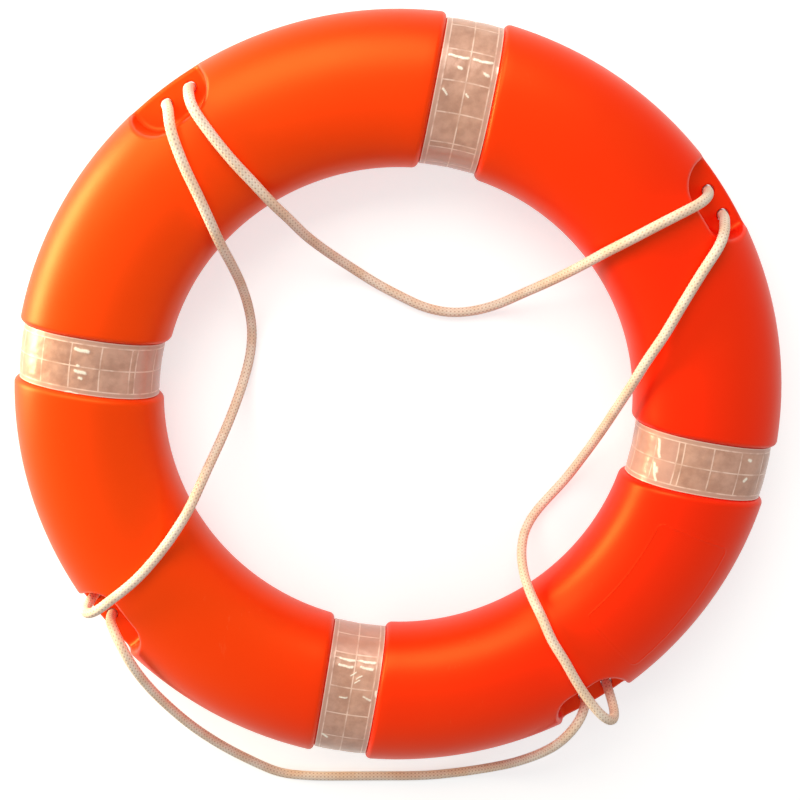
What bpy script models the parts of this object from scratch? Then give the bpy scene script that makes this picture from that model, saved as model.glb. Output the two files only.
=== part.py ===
# A life ring: a hollow moulded shell filled with foam, four reflective tape bands
# sunk in grooves, and a grab line laced through four webs in the outer edge.
# The ring lies flat on its back: +Z is its axis and z = 0 is the ground.
# Sizes are in metres; MM turns millimetres into metres.

import math

import bmesh
import bpy
from mathutils import Matrix, Vector

MM = 0.001

# The ring: a rounded oval section turned about +Z
RING_DIAMETER = 720 * MM
SECTION_WIDTH = 137 * MM
RING_THICKNESS = 105 * MM
SECTION_POWER = 2.25
LAND_WIDTH = 24 * MM
SHELL_WALL = 3.5 * MM
SECTION_POINTS = 16
RING_STEPS = 56

# The foam inside the shell
FOAM_CLEARANCE = 0.3 * MM

# Reflective tape bands and the grooves that they lie in
BAND_ANGLES = (79.0, 170.4, 260.3, 350.2)
TAPE_WIDTH = 50.5 * MM
TAPE_THICKNESS = 0.6 * MM
TAPE_CLEARANCE = 0.3 * MM
TAPE_SIDE_GAP = 0.8 * MM
GROOVE_DEPTH = 5.3 * MM
SHOULDER_ANGLES = (0, 50)

# Anchors: a web with two holes, left between recesses in the front and the back
ANCHOR_ANGLE = 34.2
HOLE_INSET = 11 * MM
HOLE_SPACING = 26 * MM
HOLE_DIAMETER = 11 * MM
# How far each anchor's two holes lie off their place, inwards and anticlockwise
HOLE_SHIFTS = ((2.8 * MM, -4 * MM), (2.7 * MM, 1.8 * MM), (0, 0), (0, 0))
WEB_THICKNESS = 10 * MM
RECESS_RADIUS = 23 * MM
RECESS_DRAFT = 5
# How far each anchor's recesses lie anticlockwise of its place
FRONT_SHIFTS = (2 * MM, 8 * MM, 14.5 * MM, -6 * MM)
BACK_SHIFTS = (3 * MM, 8 * MM, 9 * MM, 0)
# Degrees that each lobe's arc runs on past the recess's inner edge
LOBE_OVERLAP = 15

# The grab line
LINE_DIAMETER = 9.5 * MM
LINE_END_GAP = 0.3 * MM
TURN_DROP = 10 * MM
KNOT_DIAMETER = 21 * MM
KNOT_LENGTH = 21 * MM
KNOT_SEAT_GAP = 0.3 * MM
KNOT_TAIL = 13 * MM
KNOT_ANCHOR = 2

# Plugs in the back: the foam is poured through one hole and vents at the other
PLUG_INSET = 0.6 * MM
PLUG_HEAD_THICKNESS = 1.3 * MM
PLUG_CLEARANCE = 0.3 * MM
FILLER_ANGLE = 57.5
FILLER_STEM_DIAMETER = 20 * MM
FILLER_HEAD_DIAMETER = 28 * MM
VENT_ANGLE = 237.5
VENT_STEM_DIAMETER = 8 * MM
VENT_HEAD_DIAMETER = 13 * MM

RING_RADIUS = RING_DIAMETER / 2
CENTRE_RADIUS = RING_RADIUS - SECTION_WIDTH / 2
MID_HEIGHT = RING_THICKNESS / 2
HOLE_CIRCLE = RING_RADIUS - HOLE_INSET
WEB_TOP = MID_HEIGHT + WEB_THICKNESS / 2
WEB_BACK = MID_HEIGHT - WEB_THICKNESS / 2
LINE_RADIUS = LINE_DIAMETER / 2
# The loops end in half balls above the webs, and the turns end just below them
TURN_TOP = WEB_TOP + 0.05 * MM
HINGE_HEIGHT = TURN_TOP + LINE_END_GAP + LINE_RADIUS
# How far a cutter runs past the surface that it cuts
OVERCUT = 12 * MM

BAND_NAMES = ("top", "left", "bottom", "right")

# Each loop of the grab line: its anchor and hole at either end, then the points in
# between, in millimetres. The line rises from a web, crosses the ring and hangs to
# the ground, inside the ring or, for the bottom loop, outside it. Side 1 is a web's
# anticlockwise hole and side -1 its clockwise one.
LOOPS = {
    "top": ((1, -1), (0, 1), (
        (-184.5, 291.5, 72), (-182.5, 289.5, 84), (-180.5, 285.5, 96), (-178, 279.5, 105),
        (-174.5, 273, 110), (-168.5, 264, 112.5), (-157, 248, 112), (-141, 228, 109.5),
        (-127, 212, 103),
        (-113, 195, 94.5), (-98, 178, 77), (-85, 162, 57), (-66, 144, 32),
        (-44, 127, 14), (-22, 112, 6.5), (2, 99, 5.2), (26, 88, 5.2),
        (51, 83, 5.2), (75, 85, 6), (96, 92, 12), (117, 104, 27),
        (141, 119, 50), (163, 135, 76), (183, 150, 96), (202, 162, 107),
        (223, 174, 111), (239, 182.5, 112), (251, 188.5, 110.5), (261.5, 193, 105.5),
        (268.5, 196.5, 97), (273.5, 198.5, 85.5), (277.5, 200, 73))),
    "left": ((1, 1), (2, -1), (
        (-204.5, 277, 72), (-201, 275, 84.5), (-198.5, 271, 97), (-196.5, 265, 105.5),
        (-195, 258, 110.5), (-191.5, 246.5, 112), (-184, 225, 111.5), (-174, 202, 109.5),
        (-166, 181, 104),
        (-159, 159, 91), (-152, 137, 69), (-147, 116, 45), (-143, 90, 23),
        (-142, 65, 10), (-145, 41, 6.5), (-151, 18, 11), (-159, -6, 26),
        (-168, -29, 48), (-178, -51, 72), (-186, -69, 90), (-194, -86, 101),
        (-204, -102, 106), (-216, -119, 108), (-229, -135, 109.5), (-242, -149, 111),
        (-255, -160.5, 112), (-268, -170.5, 112), (-280, -180.5, 110), (-289.5, -186.5, 105),
        (-296, -189.5, 96.5), (-299, -189.5, 85.5), (-298, -187.5, 73))),
    "right": ((0, -1), (3, 1), (
        (293.5, 178, 72), (290.5, 174.5, 84.5), (287.5, 169.5, 96.5), (283.5, 163, 106),
        (278.5, 155, 111.5), (272, 144.5, 112), (264, 131, 112), (250, 105, 110.5), (237, 78, 106),
        (223, 53, 101), (213, 28, 88), (204, 3, 70), (194, -26, 47),
        (182, -56, 24), (167, -84, 10), (151, -104, 7), (137, -120, 10),
        (126, -134, 24), (121, -148, 43), (121, -162, 66), (126, -176, 88),
        (135, -193, 101), (144.5, -214, 107.5), (156.5, -233, 111), (167, -252, 112),
        (177.5, -269, 112.5), (189, -284.5, 111), (200, -296.5, 107), (208, -303, 99.5),
        (212.5, -301.5, 89), (211, -292, 77))),
    "bottom": ((3, -1), (2, 1), (
        (184.5, -297, 71), (181, -301, 81), (175, -309, 88), (166.5, -321, 88),
        (157, -336, 80), (147.5, -350, 68), (134, -365, 54), (116, -382, 36),
        (91, -398, 18), (65, -408, 8), (33, -413, 5.4), (2, -414, 5.2),
        (-48, -414, 5.2), (-98, -413, 5.4), (-126, -408, 7), (-156, -389, 15),
        (-185, -363, 29), (-210, -333, 46), (-230, -302, 63), (-243, -277, 77),
        (-251, -258, 87), (-257, -243, 93), (-262.5, -229, 95), (-269, -217, 92),
        (-274.5, -210.5, 84), (-279.5, -207.3, 73))),
}

ORANGE = (1.0, 0.045, 0.0)
SILVER = (0.62, 0.50, 0.42)
CREAM = (0.85, 0.76, 0.62)
FOAM_WHITE = (0.88, 0.86, 0.78)


# Scene and materials

def clear_scene():
    for old in list(bpy.data.objects):
        bpy.data.objects.remove(old)


def make_collection(name):
    made = bpy.data.collections.new(name)
    bpy.context.scene.collection.children.link(made)
    return made


def make_material(name, color, roughness, metallic=0.0):
    made = bpy.data.materials.new(name)
    made.use_nodes = True
    shader = made.node_tree.nodes["Principled BSDF"]
    shader.inputs["Base Color"].default_value = (*color, 1.0)
    shader.inputs["Roughness"].default_value = roughness
    shader.inputs["Metallic"].default_value = metallic
    return made


def add_part(name, data, material):
    made = bpy.data.objects.new(name, data)
    made.data.materials.append(material)
    parts.objects.link(made)
    return made


def add_cutter(name, mesh):
    made = bpy.data.objects.new(name, mesh)
    made.hide_render = True
    made.display_type = "WIRE"
    cutters.objects.link(made)
    return made


def cut(target, cutter):
    boolean = target.modifiers.new(cutter.name, "BOOLEAN")
    boolean.operation = "DIFFERENCE"
    boolean.solver = "EXACT"
    boolean.object = cutter


def finish_mesh(name, bm):
    bmesh.ops.recalc_face_normals(bm, faces=bm.faces)
    mesh = bpy.data.meshes.new(name)
    bm.to_mesh(mesh)
    bm.free()
    return mesh


def shade_round(mesh):
    mesh.shade_smooth()
    mesh.set_sharp_from_angle(angle=math.radians(35))


# Turned and lofted shapes

def profile_mesh(name, points, closed):
    bm = bmesh.new()
    verts = [bm.verts.new((x, 0.0, z)) for x, z in points]
    pairs = list(zip(verts, verts[1:]))
    if closed:
        pairs.append((verts[-1], verts[0]))
    for start, end in pairs:
        bm.edges.new((start, end))
    mesh = bpy.data.meshes.new(name)
    bm.to_mesh(mesh)
    bm.free()
    return mesh


def turn_about_z(made, steps):
    screw = made.modifiers.new("Turn", "SCREW")
    screw.axis = "Z"
    screw.angle = math.radians(360)
    screw.steps = steps
    screw.render_steps = steps
    screw.use_merge_vertices = True
    screw.merge_threshold = 0.00005
    screw.use_smooth_shade = True


def loft_loops(bm, loops):
    # Joins closed loops of equal length, each to the next and the last to the first
    rows = [[bm.verts.new(point) for point in loop] for loop in loops]
    for row, following in zip(rows, rows[1:] + rows[:1]):
        for i, vert in enumerate(row):
            j = (i + 1) % len(row)
            bm.faces.new((vert, row[j], following[j], following[i]))


def loft_block(bm, outlines):
    # A closed block through outlines with the same number of points
    rows = [[bm.verts.new(point) for point in outline] for outline in outlines]
    for row, following in zip(rows, rows[1:]):
        for i, vert in enumerate(row):
            j = (i + 1) % len(row)
            bm.faces.new((vert, row[j], following[j], following[i]))
    bm.faces.new(rows[0])
    bm.faces.new(rows[-1])


def section(inset):
    # Points of the ring's section about its own centre, moved inwards by the inset.
    # They run from the top down the outer side and back up the inner one. The
    # highest and lowest points are short flat lands.
    half_width = SECTION_WIDTH / 2 - inset
    half_height = RING_THICKNESS / 2 - inset
    points = []
    for i in range(SECTION_POINTS):
        if i == 0:
            points.append((LAND_WIDTH / 2, half_height))
        elif i == SECTION_POINTS // 2:
            points.append((LAND_WIDTH / 2, -half_height))
            points.append((-LAND_WIDTH / 2, -half_height))
        else:
            angle = math.radians(90 - 360 * i / SECTION_POINTS)
            across, up = math.cos(angle), math.sin(angle)
            x = math.copysign(abs(across) ** (2 / SECTION_POWER), across)
            z = math.copysign(abs(up) ** (2 / SECTION_POWER), up)
            points.append((x * half_width, z * half_height))
    points.append((-LAND_WIDTH / 2, half_height))
    return points


# The ring's body, made at full size for the shell and smaller for what is inside

def section_at(along, inset):
    # The section of the ring in a plane that lies this far along a tangent
    loop = []
    for x, z in section(inset):
        radius = CENTRE_RADIUS + x
        loop.append((math.sqrt(radius ** 2 - along ** 2), along, MID_HEIGHT + z))
    return loop


def groove_cutter(name, inset):
    # Four collars round the section, with parallel walls and rounded shoulders
    half = TAPE_WIDTH / 2 + TAPE_SIDE_GAP + inset
    stations = []
    for angle in SHOULDER_ANGLES:
        turned = math.radians(angle)
        along = half + GROOVE_DEPTH * (1 - math.cos(turned))
        stations.append((along, GROOVE_DEPTH * (1 - math.sin(turned))))
    # Past the last point the collar leaves the surface along the shoulder's slope
    last_along, last_depth = stations[-1]
    rise = last_depth + 1 * MM
    stations.append((last_along + rise * math.tan(turned), -1 * MM))
    loops = [section_at(-along, inset + depth) for along, depth in reversed(stations)]
    loops.append(section_at(0, inset + GROOVE_DEPTH))
    loops += [section_at(along, inset + depth) for along, depth in stations]
    edge = stations[-1][0]
    loops.append(section_at(edge, inset - OVERCUT))
    loops.append(section_at(-edge, inset - OVERCUT))
    bm = bmesh.new()
    for angle in BAND_ANGLES:
        collar = bmesh.new()
        loft_loops(collar, loops)
        collar.transform(Matrix.Rotation(math.radians(angle), 4, "Z"))
        append(bm, collar)
    return add_cutter(name, finish_mesh(name, bm))


def append(bm, piece):
    # Adds one closed shape to another mesh
    copied = {vert: bm.verts.new(vert.co) for vert in piece.verts}
    for face in piece.faces:
        bm.faces.new([copied[vert] for vert in face.verts])
    piece.free()


def recess_outline(radius):
    # Two round lobes about a web's holes, seen from above and open outwards
    offset = HOLE_SPACING / 2
    reach = HOLE_INSET + 2 * OVERCUT
    half = [(reach, offset + radius)]
    steps = 6
    for i in range(steps + 1):
        angle = math.radians(90 + (90 + LOBE_OVERLAP) * i / steps)
        half.append((radius * math.cos(angle), offset + radius * math.sin(angle)))
    other = [(x, -y) for x, y in reversed(half)]
    return [(HOLE_CIRCLE + x, y) for x, y in half + other]


def recess_loop(rise, inset, side):
    # A recess's outline this far above the web or, with side -1, below it
    radius = RECESS_RADIUS + inset + rise * math.tan(math.radians(RECESS_DRAFT))
    level = MID_HEIGHT + side * (WEB_THICKNESS / 2 + rise)
    return [(x, y, level) for x, y in recess_outline(radius)]


def recess_cutter(name, inset, side, shifts):
    # The front recesses of the four anchors or, with side -1, those in the back. Inside
    # the shell the two pass mid-height, which leaves the web between them solid.
    top = (RING_THICKNESS - WEB_THICKNESS) / 2 + OVERCUT
    floor = 0 if inset == 0 else -WEB_THICKNESS / 4 - inset
    bm = bmesh.new()
    for index, shift in enumerate(shifts):
        block = bmesh.new()
        loft_block(block, (recess_loop(floor, inset, side), recess_loop(top, inset, side)))
        block.transform(Matrix.Translation((0, shift, 0)))
        block.transform(Matrix.Rotation(math.radians(ANCHOR_ANGLE + 90 * index), 4, "Z"))
        append(bm, block)
    return add_cutter(name, finish_mesh(name, bm))


def ring_body(made, inset):
    turn_about_z(made, RING_STEPS)
    cut(made, groove_cutter(made.name + "_grooves", inset))
    cut(made, recess_cutter(made.name + "_front", inset, 1, FRONT_SHIFTS))
    cut(made, recess_cutter(made.name + "_back", inset, -1, BACK_SHIFTS))


def ring_profile(name, inset):
    points = [(CENTRE_RADIUS + x, MID_HEIGHT + z) for x, z in section(inset)]
    return profile_mesh(name, points, closed=True)


# Holes and plugs

def hole_point(anchor, side, height):
    turn = Matrix.Rotation(math.radians(ANCHOR_ANGLE + 90 * anchor), 4, "Z")
    inward, along = HOLE_SHIFTS[anchor]
    return turn @ Vector((HOLE_CIRCLE - inward, along + side * HOLE_SPACING / 2, height))


def web_hole_cutter():
    bm = bmesh.new()
    for anchor in range(4):
        for side in (-1, 1):
            place = Matrix.Translation(hole_point(anchor, side, MID_HEIGHT))
            bmesh.ops.create_cone(bm, cap_ends=True, segments=16, depth=WEB_THICKNESS + OVERCUT,
                                  radius1=HOLE_DIAMETER / 2, radius2=HOLE_DIAMETER / 2,
                                  matrix=place)
    return add_cutter("web_holes", finish_mesh("web_holes", bm))


def plug_profile(stem_radius, head_radius, grow, top, bottom):
    # The stem stands on a wider head, which lies in the back face
    head_top = PLUG_INSET + PLUG_HEAD_THICKNESS + grow
    return [(0, top), (stem_radius + grow, top), (stem_radius + grow, head_top),
            (head_radius + grow, head_top), (head_radius + grow, bottom), (0, bottom)]


def add_plug(name, angle, stem_diameter, head_diameter, shell, material):
    radii = (stem_diameter / 2, head_diameter / 2)
    turned = math.radians(angle)
    place = (CENTRE_RADIUS * math.cos(turned), CENTRE_RADIUS * math.sin(turned), 0)
    points = plug_profile(*radii, 0, SHELL_WALL, PLUG_INSET)
    plug = add_part(name, profile_mesh(name, points, closed=False), material)
    plug.location = place
    turn_about_z(plug, 24)
    points = plug_profile(*radii, PLUG_CLEARANCE, SHELL_WALL + 2 * MM, -OVERCUT)
    hole = add_cutter(name + "_hole", profile_mesh(name + "_hole", points, closed=False))
    hole.location = place
    turn_about_z(hole, 24)
    cut(shell, hole)


# Shell, foam and tape

def add_shell():
    shell = add_part("shell", ring_profile("shell", 0), shell_plastic)
    ring_body(shell, 0)
    cavity = add_cutter("cavity", ring_profile("cavity", SHELL_WALL))
    ring_body(cavity, SHELL_WALL)
    cut(shell, cavity)
    cut(shell, web_hole_cutter())
    add_plug("filler_plug", FILLER_ANGLE, FILLER_STEM_DIAMETER, FILLER_HEAD_DIAMETER,
             shell, plug_plastic)
    add_plug("vent_plug", VENT_ANGLE, VENT_STEM_DIAMETER, VENT_HEAD_DIAMETER,
             shell, plug_plastic)


def add_foam():
    inset = SHELL_WALL + FOAM_CLEARANCE
    core = add_part("foam_core", ring_profile("foam_core", inset), foam)
    ring_body(core, inset)


def add_tape_bands():
    half = TAPE_WIDTH / 2
    under = GROOVE_DEPTH - TAPE_CLEARANCE
    over = under - TAPE_THICKNESS
    loops = [section_at(along, over) for along in (-half, 0, half)]
    loops += [section_at(along, under) for along in (half, 0, -half)]
    for band, angle in zip(BAND_NAMES, BAND_ANGLES):
        bm = bmesh.new()
        loft_loops(bm, loops)
        name = "tape_band_" + band
        mesh = finish_mesh(name, bm)
        shade_round(mesh)
        tape = add_part(name, mesh, reflective_tape)
        tape.rotation_euler.z = math.radians(angle)


# The grab line

def line_curve(name, points, radii, origin):
    curve = bpy.data.curves.new(name, "CURVE")
    curve.dimensions = "3D"
    curve.bevel_depth = LINE_RADIUS
    curve.bevel_resolution = 2
    curve.use_fill_caps = True
    spline = curve.splines.new("POLY")
    spline.points.add(len(points) - 1)
    for target, point, radius in zip(spline.points, points, radii):
        target.co = (*(point - origin), 1.0)
        target.radius = radius
    return curve


def smooth_path(points, steps=12):
    # A curve through all the points, each stretch shaped by its neighbours
    path = []
    for i in range(len(points) - 1):
        before = points[max(i - 1, 0)]
        start = points[i]
        end = points[i + 1]
        after = points[min(i + 2, len(points) - 1)]
        for step in range(steps):
            t = step / steps
            bend = (2 * before - 5 * start + 4 * end - after) * t ** 2
            twist = (3 * start - before - 3 * end + after) * t ** 3
            path.append((2 * start + (end - before) * t + bend + twist) / 2)
    path.append(points[-1])
    return path


def thin_out(path):
    # Keeps a point every three diameters, and closer ones where the line bends
    kept = [path[0]]
    heading = path[1] - path[0]
    for here, following in zip(path[1:-1], path[2:]):
        step = (here - kept[-1]).length
        turned = heading.angle(following - here)
        if step > 3 * LINE_DIAMETER or (step > LINE_DIAMETER and turned > math.radians(18)):
            kept.append(here)
            heading = following - here
    if (path[-1] - kept[-1]).length < LINE_DIAMETER:
        kept.pop()
    kept.append(path[-1])
    return kept


def add_grab_line(band, start, end, route):
    first = hole_point(*start, HINGE_HEIGHT)
    last = hole_point(*end, HINGE_HEIGHT)
    points = [first] + [Vector(point) * MM for point in route] + [last]
    points = thin_out(smooth_path(points))
    radii = [1.0] * len(points)
    # Each end is a half ball about the line through the two holes
    for angle in (35, 65, 88):
        turned = math.radians(angle)
        drop = Vector((0, 0, LINE_RADIUS * math.sin(turned)))
        points = [first - drop] + points + [last - drop]
        radii = [math.cos(turned)] + radii + [math.cos(turned)]
    name = "grab_line_" + band
    hinge = bpy.data.objects.new(name + "_hinge", None)
    hinge.location = (first + last) / 2
    parts.objects.link(hinge)
    loop = add_part(name, line_curve(name, points, radii, hinge.location), line_fibre)
    loop.parent = hinge


def add_turn(anchor):
    # Behind a web the line goes down one hole, round and up the other
    centre = hole_point(anchor, 0, WEB_BACK - LINE_DIAMETER / 4)
    tangent = (hole_point(anchor, 1, 0) - hole_point(anchor, -1, 0)) / HOLE_SPACING
    points = [hole_point(anchor, -1, TURN_TOP)]
    steps = 8
    for i in range(steps + 1):
        angle = math.pi * i / steps
        along = -math.cos(angle) * HOLE_SPACING / 2
        points.append(centre + tangent * along - Vector((0, 0, TURN_DROP * math.sin(angle))))
    points.append(hole_point(anchor, 1, TURN_TOP))
    name = "line_turn_" + str(anchor + 1)
    curve = line_curve(name, points, [1.0] * len(points), centre)
    turn = add_part(name, curve, line_fibre)
    turn.location = centre


def add_knot(side):
    # A stopper knot pulled up against the back of the web, with its tail
    top = TURN_TOP
    crown = WEB_BACK - KNOT_SEAT_GAP
    foot = crown - KNOT_LENGTH
    points = [(0, top), (LINE_RADIUS, top), (LINE_RADIUS, crown)]
    turns = 12
    for i in range(turns + 1):
        angle = math.pi * i / turns
        swell = LINE_RADIUS + (KNOT_DIAMETER / 2 - LINE_RADIUS) * math.sin(angle) ** 0.5
        height = crown - KNOT_LENGTH * (1 - math.cos(angle)) / 2
        if 0 < i < turns:
            points.append((swell, height))
    points += [(LINE_RADIUS, foot), (LINE_RADIUS, foot - KNOT_TAIL), (0, foot - KNOT_TAIL)]
    name = "line_knot_" + ("start" if side == 1 else "end")
    knot = add_part(name, profile_mesh(name, points, closed=False), line_fibre)
    knot.location = hole_point(KNOT_ANCHOR, side, 0)
    turn_about_z(knot, 12)


clear_scene()
parts = make_collection("life_ring")
cutters = make_collection("cutters")
cutters.hide_render = True

shell_plastic = make_material("shell_plastic", ORANGE, 0.3)
plug_plastic = make_material("plug_plastic", ORANGE, 0.4)
reflective_tape = make_material("reflective_tape", SILVER, 0.35, 0.4)
line_fibre = make_material("line_fibre", CREAM, 0.85)
foam = make_material("foam", FOAM_WHITE, 0.9)

add_shell()
add_foam()
add_tape_bands()
for band, (start, end, route) in LOOPS.items():
    add_grab_line(band, start, end, route)
for anchor in range(4):
    if anchor != KNOT_ANCHOR:
        add_turn(anchor)
for side in (1, -1):
    add_knot(side)
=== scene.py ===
import math
from functools import partialmethod

import bmesh
import bpy
import numpy as np
from mathutils import Matrix, Vector


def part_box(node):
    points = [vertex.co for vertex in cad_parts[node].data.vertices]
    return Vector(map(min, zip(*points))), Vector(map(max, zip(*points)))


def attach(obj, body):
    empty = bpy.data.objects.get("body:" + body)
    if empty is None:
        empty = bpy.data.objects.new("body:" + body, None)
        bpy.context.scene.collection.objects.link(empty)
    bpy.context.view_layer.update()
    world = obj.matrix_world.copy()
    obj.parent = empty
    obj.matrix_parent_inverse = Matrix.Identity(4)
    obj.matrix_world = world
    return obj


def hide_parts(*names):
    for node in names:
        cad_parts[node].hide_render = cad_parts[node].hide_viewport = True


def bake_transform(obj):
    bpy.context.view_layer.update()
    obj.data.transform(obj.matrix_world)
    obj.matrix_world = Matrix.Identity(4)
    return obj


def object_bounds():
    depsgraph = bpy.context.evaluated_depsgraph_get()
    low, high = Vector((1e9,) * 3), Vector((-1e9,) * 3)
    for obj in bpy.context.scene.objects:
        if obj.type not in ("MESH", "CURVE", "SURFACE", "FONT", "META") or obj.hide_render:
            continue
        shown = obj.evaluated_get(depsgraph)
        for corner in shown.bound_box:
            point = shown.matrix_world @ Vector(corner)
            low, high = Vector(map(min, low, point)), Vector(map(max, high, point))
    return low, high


# A life ring seen from above: it lies on its back, with its axis along +Z
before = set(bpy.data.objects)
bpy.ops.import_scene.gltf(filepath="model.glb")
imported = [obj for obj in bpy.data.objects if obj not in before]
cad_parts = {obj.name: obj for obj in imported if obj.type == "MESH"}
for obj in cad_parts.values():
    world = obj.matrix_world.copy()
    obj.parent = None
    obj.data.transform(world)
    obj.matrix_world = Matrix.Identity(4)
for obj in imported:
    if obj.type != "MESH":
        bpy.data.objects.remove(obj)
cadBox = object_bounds()
mm = 0.001

shellLow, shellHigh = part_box("shell")
ring = {
    "radius": (shellHigh.x - shellLow.x) / 2,
    "halfWidth": 137 * mm / 2,  # of the tube's section
    "halfHeight": (shellHigh.z - shellLow.z) / 2,
    "power": 2.25,  # 2 is an ellipse, more is squarer
}
ring["centre"] = ring["radius"] - ring["halfWidth"]
ring["middle"] = ring["halfHeight"]

groove = {
    "angles": (79.0, 170.4, 260.3, 350.2),  # of the four bands, in degrees
    "half": 26.05 * mm,
    "depth": 5.3 * mm,
}

anchor = {
    "angles": (34.2, 124.2, 214.2, 304.2),
    "circle": ring["radius"] - 11 * mm,
    "spacing": 26 * mm,
    "holeRadius": 5.5 * mm,
    # How far each pair of holes lies off its place, inwards and anticlockwise
    "holeShifts": ((2.8 * mm, -4 * mm), (2.7 * mm, 1.8 * mm), (0, 0), (0, 0)),
    "web": 10 * mm,
    "lobe": 23 * mm,  # the recess's radius at the web
    "draft": math.radians(5),
    "front": (2 * mm, 8 * mm, 14.5 * mm, -6 * mm),  # how far the recesses lie
    "back": (3 * mm, 8 * mm, 9 * mm, 0),  # anticlockwise of their place
    "bridge": 10 * mm,  # rounds the ridge between the lobes
    "floorFillet": 5 * mm,
    "rimFillet": 3.5 * mm,
    "holeFillet": 1.2 * mm,
}

panel = {
    "angle": -34.9,
    "radius": 297.5 * mm,
    "halfWidth": 35.5 * mm,
    "halfLength": 64 * mm,
    "corner": 6 * mm,
    "line": 0.7 * mm,
    "height": 0.3 * mm,
}


def addObject(name, data):
    made = bpy.data.objects.new(name, data)
    bpy.context.scene.collection.objects.link(made)
    return made


# Camera, fitted to the ring's outlines in the photograph

camera = {
    "place": (-0.00554, 0.25697, 1.15718),
    "right": (0.99998, 0.0, 0.00619),
    "up": (0.00137, 0.97525, -0.22112),
    "back": (-0.00604, 0.22112, 0.97523),
    "lens": 53.83,
    "sensor": 36,
}


def addCamera():
    data = bpy.data.cameras.new("photoCamera")
    data.lens = camera["lens"]
    data.sensor_width = camera["sensor"]
    made = addObject("photoCamera", data)
    axes = Matrix((camera["right"], camera["up"], camera["back"])).transposed()
    made.matrix_world = Matrix.Translation(camera["place"]) @ axes.to_4x4()
    bpy.context.scene.camera = made


# Shader maths: a wrapped socket takes part in ordinary expressions

class Wire:
    def __init__(self, tree, socket):
        self.tree = tree
        self.socket = socket

    def node(self, kind, settings, inputs, output=0):
        made = self.tree.nodes.new(kind)
        for key, value in settings.items():
            setattr(made, key, value)
        for key, value in inputs.items():
            if isinstance(value, Wire):
                self.tree.links.new(value.socket, made.inputs[key])
            else:
                made.inputs[key].default_value = value
        return Wire(self.tree, made.outputs[output])

    def maths(self, operation, *others):
        inputs = dict(enumerate((self,) + others))
        return self.node("ShaderNodeMath", {"operation": operation}, inputs)

    __add__ = partialmethod(maths, "ADD")
    __sub__ = partialmethod(maths, "SUBTRACT")
    __rsub__ = partialmethod(maths, "MULTIPLY_ADD", -1.0)
    __mul__ = partialmethod(maths, "MULTIPLY")
    __truediv__ = partialmethod(maths, "DIVIDE")
    __pow__ = partialmethod(maths, "POWER")
    __radd__ = __add__
    __rmul__ = __mul__
    size = partialmethod(maths, "ABSOLUTE")
    least = partialmethod(maths, "MINIMUM")
    most = partialmethod(maths, "MAXIMUM")

    def split(self):
        # The first two numbers of a place
        first = self.node("ShaderNodeSeparateXYZ", {}, {"Vector": self})
        return first, Wire(self.tree, first.socket.node.outputs[1])

    def wave(self):
        # 1 at whole numbers and 0 halfway between them
        return (self * math.tau).maths("COSINE") * 0.5 + 0.5

    def clamped(self):
        return self.least(1.0).most(0.0)

    def between(self, low, high):
        # 0 below the low value, 1 above the high one, and a smooth step between
        return self.node("ShaderNodeMapRange", {"interpolation_type": "SMOOTHSTEP"},
                         {"Value": self, "From Min": low, "From Max": high})

    def noise(self, scale, detail=3.0, roughness=0.5, stretch=None):
        place = self if stretch is None else self.node(
            "ShaderNodeMapping", {}, {"Vector": self, "Scale": stretch})
        return self.node("ShaderNodeTexNoise", {}, {
            "Vector": place, "Scale": scale, "Detail": detail, "Roughness": roughness})

    def cells(self, scale):
        return self.node("ShaderNodeTexVoronoi", {}, {"Vector": self, "Scale": scale})

    def mixed(self, first, second):
        # Colours: the first one at 0, the second one at 1
        return self.node("ShaderNodeMix", {"data_type": "RGBA"},
                         {0: self, 6: first, 7: second}, output=2)

    def bump(self, distance, strength=1.0, below=None):
        inputs = {"Height": self, "Distance": distance, "Strength": strength}
        if below is not None:
            inputs["Normal"] = below
        return self.node("ShaderNodeBump", {}, inputs)


class Finish:
    # A material with one Principled shader
    def __init__(self, name, **plain):
        self.material = bpy.data.materials.new(name)
        self.material.use_nodes = True
        self.tree = self.material.node_tree
        self.shader = self.tree.nodes["Principled BSDF"]
        for key, value in plain.items():
            self.set(key, value)

    def coordinates(self, output):
        node = self.tree.nodes.new("ShaderNodeTexCoord")
        return Wire(self.tree, node.outputs[output])

    def attribute(self, name):
        node = self.tree.nodes.new("ShaderNodeAttribute")
        node.attribute_name = name
        return Wire(self.tree, node.outputs["Fac"])

    def set(self, key, value):
        socket = self.shader.inputs[key]
        if isinstance(value, Wire):
            self.tree.links.new(value.socket, socket)
        else:
            socket.default_value = value


def rgb(red, green, blue):
    # A colour as the photograph shows it, 0 to 255, for a shader's socket
    linear = []
    for level in (red / 255, green / 255, blue / 255):
        linear.append(level / 12.92 if level < 0.04045 else ((level + 0.055) / 1.055) ** 2.4)
    return (*linear, 1.0)


# Pieces

def addPiece(name, mesh, material, slot, replaced):
    made = addObject(name, mesh)
    mesh.materials.clear()
    mesh.materials.append(material)
    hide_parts(replaced)
    return made


def addFixed(*facts):
    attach(addPiece(*facts), "ring")


def meshFrom(bm, name):
    mesh = bpy.data.meshes.new(name)
    bm.to_mesh(mesh)
    bm.free()
    return mesh


def weld(bm):
    bmesh.ops.remove_doubles(bm, verts=bm.verts, dist=0.01 * mm)
    bmesh.ops.recalc_face_normals(bm, faces=bm.faces)


def spin(bm, steps):
    bmesh.ops.spin(bm, geom=bm.verts[:] + bm.edges[:], cent=(0, 0, 0), axis=(0, 0, 1),
                   angle=math.tau, steps=steps, use_merge=True)


def gridMesh(name, rows, columns):
    # A flat grid that is rolled up later, and its points, from -1 to 1
    bm = bmesh.new()
    bmesh.ops.create_grid(bm, x_segments=rows, y_segments=columns, size=1)
    bm.loops.layers.uv.new("UVMap")
    mesh = meshFrom(bm, name)
    return mesh, pointsOf(mesh)


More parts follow.
